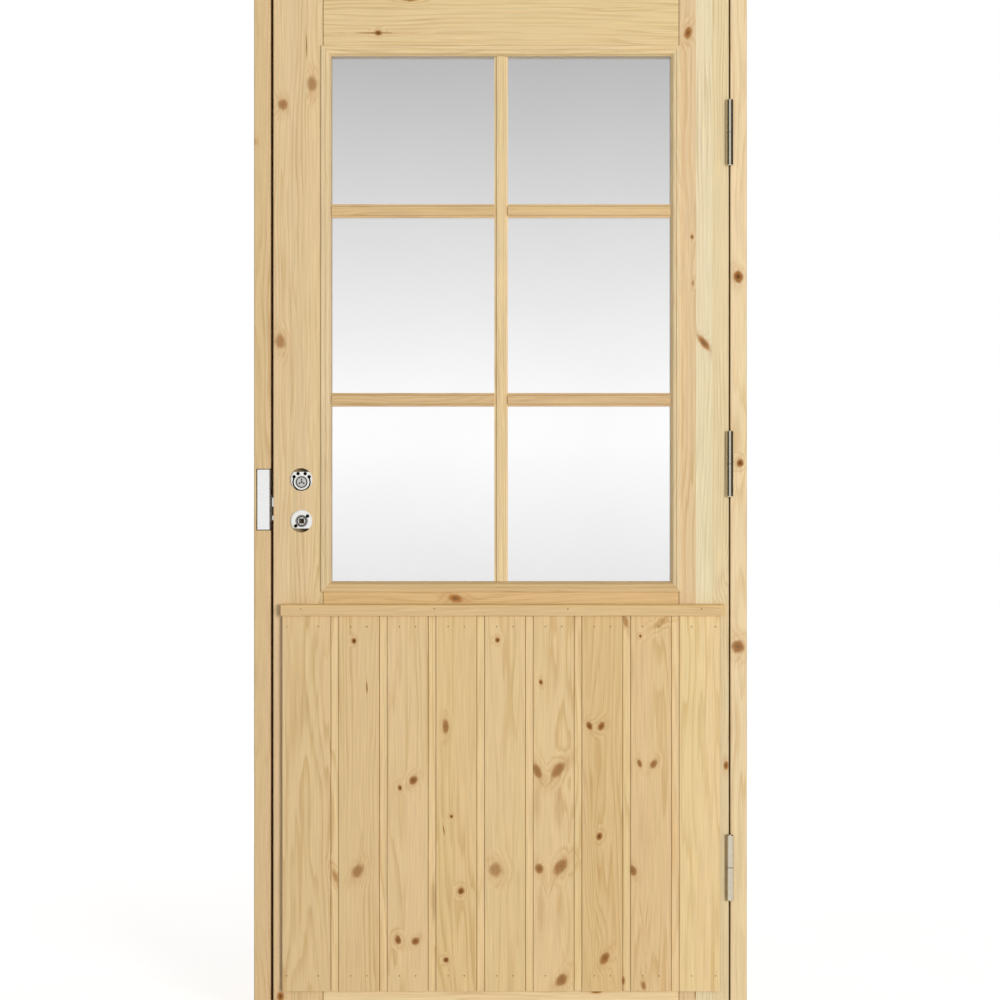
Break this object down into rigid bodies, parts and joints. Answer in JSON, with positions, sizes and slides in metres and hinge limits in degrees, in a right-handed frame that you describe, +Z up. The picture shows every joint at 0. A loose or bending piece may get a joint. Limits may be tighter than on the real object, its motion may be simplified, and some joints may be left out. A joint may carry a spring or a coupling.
{
  "type": "exterior door with frame",
  "caption": "Boarded pine cabin door with a glazed upper half, hung on lift-off hinges in a rebated frame, with a sprung mortise latch ready for a handle and cylinder.",
  "frame": {"origin": "middle of the threshold's underside, halfway through the frame's depth", "axes": "+Z up, -Y towards the outside face that the picture shows, +X to the right, towards the hinges"},
  "size_m": [0.89, 0.116, 1.89],
  "materials": {
    "frame_pine": "satin",
    "board_pine": "satin",
    "threshold_wood": "satin",
    "seal": "matte",
    "zinc_steel": "satin",
    "plain_steel": "satin",
    "washer": "satin",
    "glass": "gloss",
    "spacer_bar": "satin",
    "setting_block": "matte",
    "insulation": "matte"
  },
  "bodies": {
    "frame": {"lock_jamb": "frame_pine", "hinge_jamb": "frame_pine", "head_jamb": "frame_pine", "threshold": "threshold_wood", "weather_seal": "seal", "frame_corner_screws": "plain_steel", "strike_plate": "zinc_steel", "hinge_pins": "plain_steel", "hinge_washers": "washer", "frame_hardware_screws": "plain_steel", "bottom_hinge_frame_leaf": "zinc_steel", "middle_hinge_frame_leaf": "zinc_steel", "top_hinge_frame_leaf": "zinc_steel"},
    "leaf": {"bottom_hinge_door_leaf": "zinc_steel", "middle_hinge_door_leaf": "zinc_steel", "top_hinge_door_leaf": "zinc_steel", "leaf_hardware_screws": "plain_steel", "lock_stile": "frame_pine", "hinge_stile": "frame_pine", "top_rail": "frame_pine", "middle_rail": "frame_pine", "bottom_rail": "frame_pine", "rail_dowels": "frame_pine", "outer_pane": "glass", "inner_pane": "glass", "pane_spacer": "spacer_bar", "setting_blocks": "setting_block", "outer_bead_top": "frame_pine", "outer_bead_bottom": "frame_pine", "outer_bead_lock_side": "frame_pine", "outer_bead_hinge_side": "frame_pine", "inner_bead_top": "frame_pine", "inner_bead_bottom": "frame_pine", "inner_bead_lock_side": "frame_pine", "inner_bead_hinge_side": "frame_pine", "glazing_bar_upright": "frame_pine", "glazing_bar_upper": "frame_pine", "glazing_bar_lower": "frame_pine", "cladding_board_1": "board_pine", "cladding_board_2": "board_pine", "cladding_board_3": "board_pine", "cladding_board_4": "board_pine", "cladding_board_5": "board_pine", "cladding_board_6": "board_pine", "cladding_board_7": "board_pine", "cladding_board_8": "board_pine", "cladding_board_9": "board_pine", "drip_rail": "board_pine", "cladding_nails": "plain_steel", "insulation_core": "insulation", "lining_boards": "board_pine", "lock_case": "zinc_steel", "lock_cover": "zinc_steel", "lock_forend": "zinc_steel", "latch_spring": "plain_steel", "trigger_spring": "plain_steel"},
    "latch": {"latch_bolt": "zinc_steel"},
    "trigger": {"trigger_bolt": "zinc_steel"},
    "follower": {"handle_follower": "zinc_steel"},
    "driver": {"cylinder_driver": "zinc_steel"}
  },
  "joints": [
    {"name": "leaf_swing", "type": "hinge", "parent": "frame", "child": "leaf", "pos_m": [0.4135, -0.0525, 0.945], "axis": [0, 0, 1], "range_deg": [0, 140]},
    {"name": "handle_follower_turn", "type": "hinge", "parent": "leaf", "child": "follower", "pos_m": [-0.36, -0.025, 0.907], "axis": [0, -1, 0], "range_deg": [0, 40]},
    {"name": "latch_slide", "type": "slide", "parent": "leaf", "child": "latch", "axis": [-1, 0, 0], "range_m": [0, 0.012], "stiffness_N_per_m": 400, "springref_m": 0.016, "deforming": ["latch_spring"]},
    {"name": "trigger_slide", "type": "slide", "parent": "leaf", "child": "trigger", "axis": [-1, 0, 0], "range_m": [0, 0.008], "stiffness_N_per_m": 250, "springref_m": 0.011, "deforming": ["trigger_spring"]},
    {"name": "cylinder_driver_turn", "type": "hinge", "parent": "leaf", "child": "driver", "pos_m": [-0.36, -0.025, 0.9775], "axis": [0, -1, 0], "range_deg": [0, 90]}
  ],
  "couplings": [
    {"joint": "handle_follower_turn", "follows": "latch_slide", "rad_per_m": 58.17}
  ]
}
